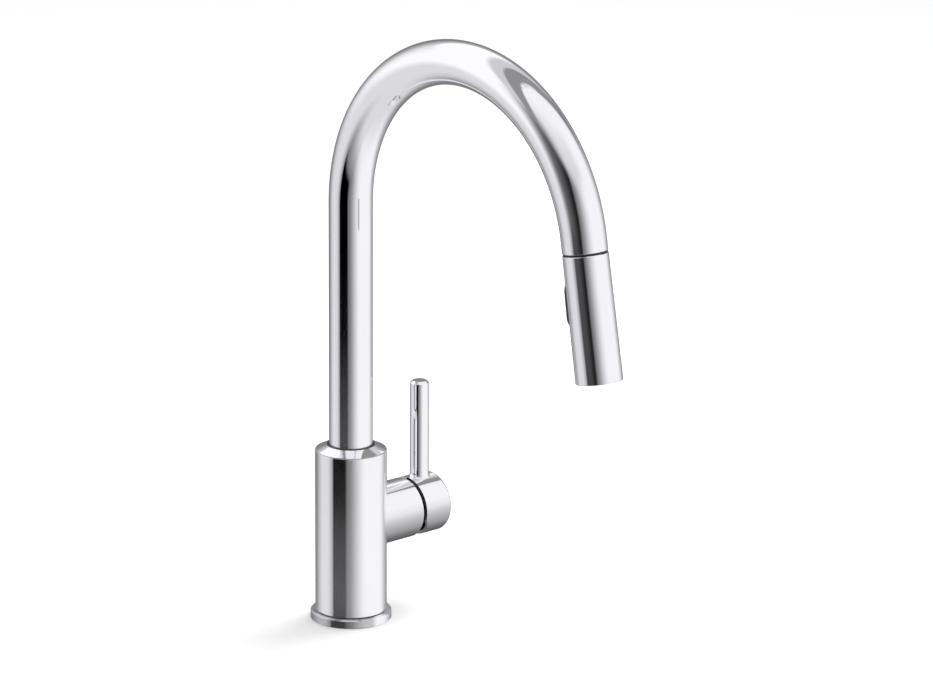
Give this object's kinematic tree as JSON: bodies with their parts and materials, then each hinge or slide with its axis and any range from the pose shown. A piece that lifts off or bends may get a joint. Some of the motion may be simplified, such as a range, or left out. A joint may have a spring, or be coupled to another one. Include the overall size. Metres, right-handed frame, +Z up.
{
  "type": "pull-down kitchen faucet",
  "caption": "Single-lever kitchen faucet with a swivelling gooseneck spout, side mixing handle and pull-down spray head with a rocker spray selector.",
  "frame": {"origin": "centre of the underside of the base ring, on the deck, on the column's axis", "axes": "+Z up along the column, -Y towards the user and the spout's outlet, +X towards the side handle"},
  "size_m": [0.101, 0.281, 0.472],
  "materials": {
    "chrome": "polished",
    "brass": "machined",
    "steel": "satin",
    "rubber": "matte",
    "black_plastic": "satin",
    "grey_plastic": "satin",
    "white_plastic": "satin",
    "ceramic": "polished ceramic",
    "hose_braid": "woven sleeve"
  },
  "bodies": {
    "column": {"base_ring": "chrome", "deck_gasket": "rubber", "threaded_shank": "brass", "rubber_washer": "rubber", "clamp_washer": "steel", "mounting_nut": "brass", "jack_screw_right": "steel", "jack_screw_left": "steel", "body_shell": "chrome", "spout_collar": "chrome", "collar_slip_ring": "black_plastic", "swivel_bush": "black_plastic", "valve_body": "brass", "cup_clamp_nut": "brass", "hot_inlet_nipple": "brass", "cold_inlet_nipple": "brass", "outlet_nipple": "brass", "base_gasket": "rubber", "cartridge_base": "white_plastic", "fixed_disc": "ceramic", "cartridge_housing": "white_plastic", "cartridge_nut": "brass", "bonnet": "black_plastic", "lower_hose": "hose_braid"},
    "spout": {"spout_tube": "chrome", "spout_ferrule": "brass", "lower_friction_ring": "rubber", "upper_friction_ring": "rubber", "dock_bush": "black_plastic", "pull_hose": "hose_braid"},
    "cartridge_carrier": {"stem_carrier": "grey_plastic", "stem_pin": "steel", "limit_ring": "black_plastic"},
    "mixing_disc": {"moving_disc": "ceramic", "disc_driver": "grey_plastic"},
    "handle": {"handle_stem": "steel", "handle_cap": "chrome", "lever_rod": "chrome", "handle_set_screw": "steel", "screw_plug": "grey_plastic"},
    "hose_end": {"hose_ferrule": "steel"},
    "spray_head": {"head_shell": "chrome", "head_collar": "grey_plastic", "hose_swivel_nut": "brass", "inlet_screen": "steel", "inlet_washer": "rubber", "head_waterway": "grey_plastic", "check_valve": "white_plastic", "toggle_pin": "steel", "nozzle_pad": "rubber", "spray_face": "grey_plastic", "aerator_cage": "white_plastic", "aerator_screen": "steel"},
    "toggle": {"toggle_button": "black_plastic"},
    "diverter": {"diverter_spool": "white_plastic"}
  },
  "joints": [
    {"name": "spout_swivel", "type": "hinge", "parent": "column", "child": "spout", "pos_m": [0, 0, 0.1], "axis": [0, 0, 1], "continuous": true},
    {"name": "handle_turn", "type": "hinge", "parent": "column", "child": "cartridge_carrier", "pos_m": [0.037, 0, 0.0668], "axis": [1, 0, 0], "range_deg": [-45, 45]},
    {"name": "handle_lift", "type": "hinge", "parent": "cartridge_carrier", "child": "handle", "pos_m": [0.037, 0, 0.0668], "axis": [0, 1, 0], "range_deg": [0, 20]},
    {"name": "disc_slide", "type": "slide", "parent": "cartridge_carrier", "child": "mixing_disc", "axis": [0, 0, 1], "range_m": [0, 0.003]},
    {"name": "spray_pull", "type": "slide", "parent": "spout", "child": "hose_end", "axis": [0, -0.1736, -0.9848], "range_m": [0, 0.2], "stiffness_N_per_m": 25, "springref_m": -0.2},
    {"name": "spray_spin", "type": "hinge", "parent": "hose_end", "child": "spray_head", "pos_m": [0, -0.22395, 0.29759], "axis": [0, -0.1736, -0.9848], "continuous": true},
    {"name": "toggle_rock", "type": "hinge", "parent": "spray_head", "child": "toggle", "pos_m": [0, -0.22104, 0.26459], "axis": [1, 0, 0], "range_deg": [-3.5, 3.5]},
    {"name": "diverter_slide", "type": "slide", "parent": "spray_head", "child": "diverter", "axis": [0, 0.1736, 0.9848], "range_m": [-0.0004, 0.0004]}
  ],
  "couplings": [
    {"joint": "disc_slide", "follows": "handle_lift", "m_per_rad": 0.0085},
    {"joint": "diverter_slide", "follows": "toggle_rock", "m_per_rad": -0.006}
  ]
}
